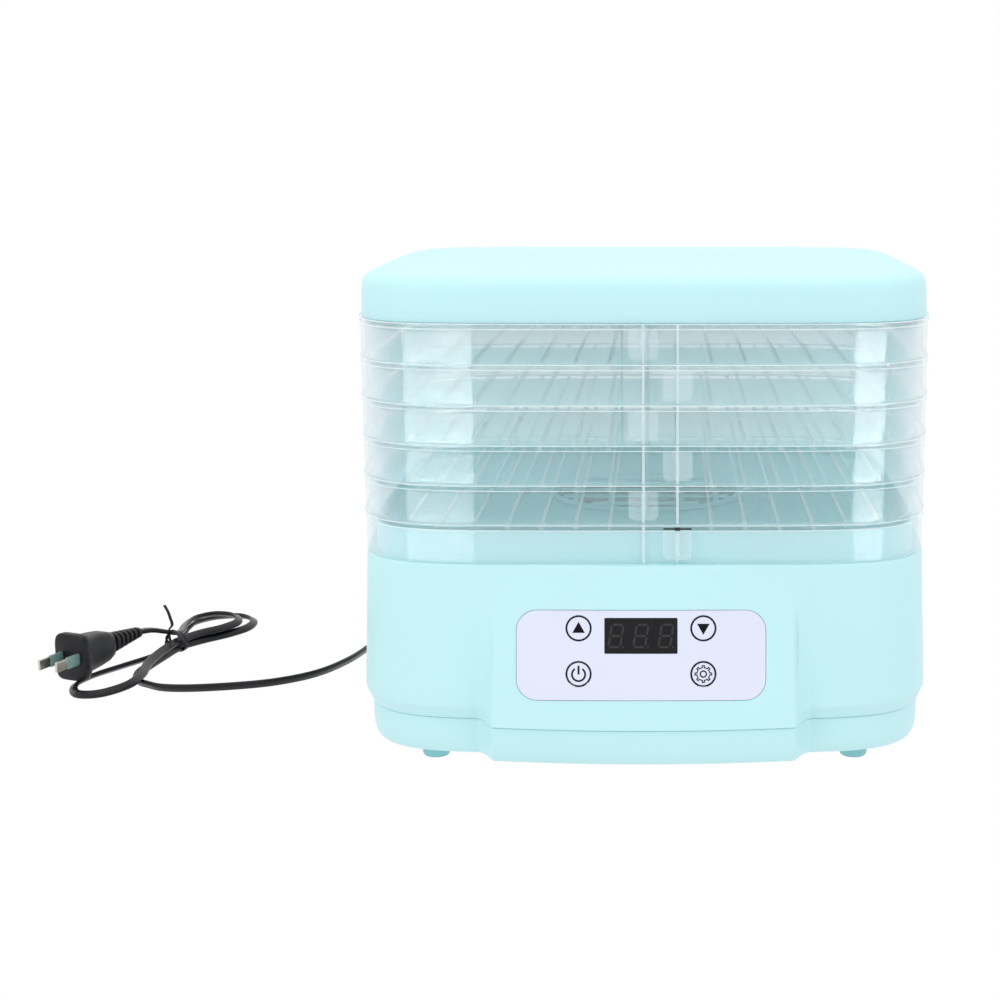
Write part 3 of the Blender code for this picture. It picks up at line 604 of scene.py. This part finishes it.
walls = []
for k in range(TRAYS):
    low = STACK_Z0 + k * PITCH
    top = low + PITCH - 0.3
    peak = top + NEST_H
    body, node = f"tray_{k + 1}", f"tray_{k + 1}"
    turned = k % 2 == 1                     # every other tray is set on half a turn round
    ring = shell(f"tray_{k + 1}_frame", [
        (-0.5, low), (-0.12, low + 0.15), (0.0, low + 0.6), (0.0, top - 3.0), (0.1, top - 2.75), (0.32, top - 2.6), (0.4, top - 2.35), (0.4, top - 0.45), (0.28, top - 0.12),
        (-0.1, top), (-4.5, top), (-4.9, top + 0.15), (-5.0, top + 0.6), (-5.0, peak - 0.6), (-5.15, peak - 0.15), (-5.5, peak),
        (-6.3, peak), (-6.65, peak - 0.15), (-6.8, peak - 0.6), (-6.8, top - 1.7), (-6.6, top - 2.2), (-2.6, top - 2.2), (-2.1, top - 2.5), (-2.0, top - 3.1),
        (-2.0, low + 0.5), (-1.85, low + 0.1), (-1.5, low)], closed=True)
    keep(ring, CLEAR, body, (node,), 40)
    walls.append(ring)
    # rim beads: real mouldings, given the denser, whiter clear that paints a bright highlight line along each rim
    for tag, z in (("upper", top - 0.12), ("lower", top - 2.75)):
        bead = shell(f"tray_{k + 1}_{tag}_bead", [(0.30, z - 0.28), (0.55, z - 0.22), (0.66, z), (0.55, z + 0.22), (0.30, z + 0.28)], closed=True)
        keep(bead, EDGE_HIGHLIGHT, body, (), 40)
    # the floor: ribs front to back on a mesh of cross slats
    bm = bmesh.new()
    for i in range(-7, 8):
        x = i * RIB_PITCH
        reach = half_depth(abs(x) + 0.9, -6.9)
        block(bm, (x - 0.9, BODY_Y - reach, top - 1.20), (x + 0.9, BODY_Y + reach, top + 0.35))
    keep(from_bmesh(f"tray_{k + 1}_ribs", bm, recalc=False), RIB, body, (), 30)
    bm = bmesh.new()
    for i in range(-23, 24):
        y = i * 5.6
        reach = half_width(abs(y) + 0.6, -6.9)
        block(bm, (-reach, BODY_Y + y - 0.6, top - 2.15), (reach, BODY_Y + y + 0.6, top - 1.24))
    keep(from_bmesh(f"tray_{k + 1}_mesh", bm, recalc=False), MESH, body, (), 30)
    # rib ends along the rim, front and rear
    bm = bmesh.new()
    for i in range(-6, 7):
        x = i * RIB_PITCH
        for rear in (False, True):
            wall_slab(bm, [(x - 0.95, top - 0.55), (x - 0.95, top - 2.1), (x + 0.95, top - 2.1), (x + 0.95, top - 0.55)], 0.30, 0.62, rear)
    keep(from_bmesh(f"tray_{k + 1}_rib_ends", bm), FROST, body, (), 30)
    # tongues and flutes: the rear ones are where a half turn brings them to the front
    front_x = 0.0 if turned else RIB_PITCH
    rear_x = -RIB_PITCH if turned else 0.0
    bm = bmesh.new()
    wall_slab(bm, tongue_outline(front_x, top - 2.9), -0.05, 0.55)
    wall_slab(bm, tongue_outline(rear_x, top - 2.9), -0.05, 0.55, True)
    for x, rear in ((front_x, False), (rear_x, True)):
        wall_slab(bm, [(x - 1.3, top - 3.4), (x - 1.3, top - 15.2), (x + 1.3, top - 15.2), (x + 1.3, top - 3.4)], 0.60, 1.05, rear)
    keep(from_bmesh(f"tray_{k + 1}_tongues", bm), FROST, body, (), 30)
    # inner flutes: real ribs, given the same denser, whiter clear that paints bright highlight lines down the wall
    bm = bmesh.new()
    for x, rear in ((0.0, False), (RIB_PITCH, False), (0.0, True), (-RIB_PITCH, True)):
        wall_slab(bm, [(x - 0.6, top - 0.3), (x - 0.6, low + 0.3), (x + 0.6, low + 0.3), (x + 0.6, top - 0.3)], -3.2, -2.05, rear)
    keep(from_bmesh(f"tray_{k + 1}_flutes", bm), EDGE_HIGHLIGHT, body, (), 30)
    if k == 0:
        # a dark slab with a taller square at its middle, laid on tray 1's front rim: painted shade standing in for the
        # dark gap of a latch slot
        bm = bmesh.new()
        wall_slab(bm, [(x, z) for x, z in ((RIB_PITCH - 7.2, 132.55), (RIB_PITCH + 7.2, 132.55), (RIB_PITCH + 7.2, 133.35), (RIB_PITCH - 7.2, 133.35))], 0.36, 0.60)
        wall_slab(bm, [(x, z) for x, z in ((RIB_PITCH - 1.3, 132.05), (RIB_PITCH + 1.3, 132.05), (RIB_PITCH + 1.3, 133.75), (RIB_PITCH - 1.3, 133.75))], 0.34, 0.72)
        keep(from_bmesh("tray_1_latch_slot_painted_shade", bm), SHADOW, body, (), 30)

# ---- control panel: bowed film, dark window, four round keys ----
holes = [rounded(37.3, 18.3, 0.6, (0, WINDOW_UP), 3)]
KEYS = {"up": (-BUTTON_X, BUTTON_UP), "down": (BUTTON_X, BUTTON_UP), "power": (-BUTTON_X, BUTTON_DOWN), "settings": (BUTTON_X, BUTTON_DOWN)}
for x, y in KEYS.values():
    holes.append(circle(x, y, 6.72, 72))
panel = flat_shape("panel_plate", [rounded(PANEL_W, PANEL_H, PANEL_R, seg=14)] + holes, -1.15, 0.25)
keep(panel, PANEL, "root", ("control_panel",), 30)
lens = flat_shape("window_plate", [rounded(36.8, 17.8, 0.45, (0, WINDOW_UP), 3)], -1.15, 0.18)
keep(lens, WINDOW, "root", ("display_window",), 30)


def segments(cx, cy):
    """Seven slanted bars and a point, drawn 12.6 mm tall."""
    h, w, t, lean = 11.4, 6.0, 1.15, math.tan(rad(9))
    place = lambda pts: [(cx + x + lean * y, cy + y) for x, y in pts]
    bars = []
    for y in (h / 2, 0.0, -h / 2):
        a = w / 2 - 0.35
        bars.append(place([(-a, y), (-a + t / 2, y + t / 2), (a - t / 2, y + t / 2), (a, y), (a - t / 2, y - t / 2), (-a + t / 2, y - t / 2)]))
    for x in (-w / 2, w / 2):
        for y in (h / 4, -h / 4):
            a = h / 4 - 0.35
            bars.append(place([(x, y + a), (x + t / 2, y + a - t / 2), (x + t / 2, y - a + t / 2), (x, y - a), (x - t / 2, y - a + t / 2), (x - t / 2, y + a - t / 2)]))
    bars.append([(px + 0.0, py) for px, py in circle(cx + w / 2 + 0.55, cy - h / 2 - 0.1, 0.55, 16)])
    return bars


marks = []
for i in (-1, 0, 1):
    marks += segments(i * 12.7, WINDOW_UP)
digits = flat_shape("display_segments", marks, 0.20, 0.26)
keep(digits, SEGMENT, "root", (), 30)


def arc_band(cx, cy, r0, r1, a0, a1, count=40):
    outer = [(cx + r1 * math.cos(rad(a0 + (a1 - a0) * i / count)), cy + r1 * math.sin(rad(a0 + (a1 - a0) * i / count))) for i in range(count + 1)]
    inner = [(cx + r0 * math.cos(rad(a0 + (a1 - a0) * i / count)), cy + r0 * math.sin(rad(a0 + (a1 - a0) * i / count))) for i in range(count + 1)]
    return outer + inner[::-1]


def gear_outline(cx, cy, root, tip, wide, narrow, teeth=8):
    pts = []
    for i in range(teeth):
        mid = 90 + 360 / teeth * i
        for a, r in ((-19.0, root), (-wide, root), (-narrow, tip), (narrow, tip), (wide, root), (19.0, root)):
            pts.append((cx + r * math.cos(rad(mid + a)), cy + r * math.sin(rad(mid + a))))
    return pts


for key, (x, y) in KEYS.items():
    node = "button_" + key
    disc_piece = flat_shape(node + "_cap", [circle(x, y, 6.45, 72)], -1.15, 0.25)
    keep(disc_piece, PANEL, node, (node,), 30)
    prints = [circle(x, y, 6.43, 72), circle(x, y, 5.72, 72)]
    legend = []
    if key == "up":
        legend.append([(x, y + 3.3), (x - 3.2, y - 2.3), (x + 3.2, y - 2.3)])
    elif key == "down":
        legend.append([(x, y - 3.3), (x + 3.2, y + 2.3), (x - 3.2, y + 2.3)])
    elif key == "power":
        legend.append(arc_band(x, y - 0.2, 2.90, 3.85, 124, 416))
        legend.append([(x - 0.5, y - 0.2), (x + 0.5, y - 0.2), (x + 0.5, y + 4.2), (x - 0.5, y + 4.2)])
    else:
        legend.append(gear_outline(x, y, 3.55, 4.60, 13.5, 9.5))
        legend.append(gear_outline(x, y, 3.02, 4.05, 5.0, 2.5))
        legend += [circle(x, y, 1.90, 32), circle(x, y, 1.20, 32)]
    keep(flat_shape(node + "_print", prints + legend, 0.24, 0.29), INK, node, (), 30)

# ---- air grille: rings and spokes over the fan ----
low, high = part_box("air_grille")
g0, g1 = low[2] / MM, high[2] / MM
bm = bmesh.new()


def ring_bar(bm, r0, r1, z0, z1, count=96):
    rows = [(r0, z0), (r1, z0), (r1, z1 - 0.3), (r1 - 0.3, z1), (r0 + 0.3, z1), (r0, z1 - 0.3)]
    rings = [[bm.verts.new((r * math.cos(2 * math.pi * k / count), BODY_Y + r * math.sin(2 * math.pi * k / count), z)) for k in range(count)] for r, z in rows]
    for one, two in zip(rings, rings[1:] + rings[:1]):
        for j in range(count):
            bm.faces.new((one[j], one[(j + 1) % count], two[(j + 1) % count], two[j]))


ring_bar(bm, 52.5, 57.0, g0 + 0.2, g1)
from_rings = from_bmesh("grille_rings", bm)
bm = bmesh.new()
for i in range(-2, 3):
    y = i * 20.0
    reach = math.sqrt(53.2 ** 2 - (abs(y) + 4.0) ** 2)
    block(bm, (-reach, BODY_Y + y - 4.0, g1 - 0.6), (reach, BODY_Y + y + 4.0, g1))
for i in range(-2, 3):
    x = i * 20.0
    reach = math.sqrt(53.2 ** 2 - (abs(x) + 1.6) ** 2)
    block(bm, (x - 1.6, BODY_Y - reach, g1 - 1.6), (x + 1.6, BODY_Y + reach, g1 - 0.1))
spokes = from_bmesh("grille_bars", bm, recalc=False)
keep(from_rings, MINT, "root", ("air_grille",), 30)
keep(spokes, MINT, "root", (), 30)

# ---- inner pieces keep their CAD shape, with their own surfaces ----
INNER = {
    "air_duct": DARK, "fan_impeller": DARK, "transformer": DARK, "relay": DARK, "display_module": DARK,
    "control_board": BOARD, "power_board": BOARD, "motor_bracket": STEEL, "fan_motor": STEEL, "motor_shaft": STEEL,
    "thermal_cutout": STEEL, "temperature_sensor": STEEL, "heating_element": COIL, "heater_frame": MICA,
    "switch_up": STEEL, "switch_down": STEEL, "switch_power": STEEL, "switch_settings": STEEL,
    "cover_screw_1": STEEL, "cover_screw_2": STEEL, "cover_screw_3": STEEL, "cover_screw_4": STEEL,
    "plug_blade_left": BLADE, "plug_blade_right": BLADE,
}
for node, mat in INNER.items():
    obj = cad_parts[node]
    while len(obj.material_slots) < 1:
        obj.data.materials.append(mat)
    for s in obj.material_slots:
        s.material = mat

# ---- studio ----
# a plain floor, lit evenly from within like a light table
bm = bmesh.new()
bm.faces.new([bm.verts.new((x, y, -0.00002)) for x, y in ((-14, -5), (14, -5), (14, 24), (-14, 24))])
floor = from_bmesh("studio_floor", bm, scale=1.0)
white = bpy.data.materials.new("studio_white")
white.use_nodes = True
shader = white.node_tree.nodes["Principled BSDF"]
shader.inputs["Base Color"].default_value = (0, 0, 0, 1)
shader.inputs["Specular IOR Level"].default_value = 0
shader.inputs["Emission Color"].default_value = (1, 1, 1, 1)
shader.inputs["Emission Strength"].default_value = 1.0
floor.data.materials.append(white)

world = bpy.data.worlds.new("studio")
bpy.context.scene.world = world
world.use_nodes = True
world.node_tree.nodes["Background"].inputs["Color"].default_value = (1.0, 1.0, 1.0, 1)
world.node_tree.nodes["Background"].inputs["Strength"].default_value = 1.0


def softbox(name, place, aim, size, power, colour=(1, 1, 1)):
    lamp = bpy.data.lights.new(name, "AREA")
    lamp.shape = "RECTANGLE"
    lamp.size, lamp.size_y = size
    lamp.energy = power
    lamp.color = colour
    obj = bpy.data.objects.new(name, lamp)
    bpy.context.scene.collection.objects.link(obj)
    obj.location = place
    obj.rotation_euler = (Vector(aim) - Vector(place)).to_track_quat("-Z", "Y").to_euler()
    return obj


softbox("key_overhead", (0.0, -0.2, 1.9), (0, 0, 0.1), (2.2, 2.2), 9)
softbox("front_left", (-1.6, -1.5, 1.1), (0, 0, 0.12), (0.9, 1.6), 5)
softbox("front_right", (1.6, -1.5, 1.1), (0, 0, 0.12), (0.9, 1.6), 3)

# tall banks of light that show as upright bands in the clear walls
banks = bpy.data.collections.new("clear_walls")
for obj in walls:
    banks.objects.link(obj)
for name, place, size in (("bank_left", (-1.147, -1.674, 0.10), (1.474, 2.2)), ("bank_right", (1.426, -1.550, 0.10), (1.023, 2.2))):
    bank = softbox(name, place, (place[0] / 20, -0.10, 0.10), size, 260)
    bank.light_linking.receiver_collection = banks
    bank.visible_diffuse = False

cycles = bpy.context.scene.cycles
cycles.max_bounces = 10
cycles.transmission_bounces = 4
cycles.transparent_max_bounces = 32
cycles.diffuse_bounces = 4
cycles.glossy_bounces = 4
cycles.caustics_refractive = True
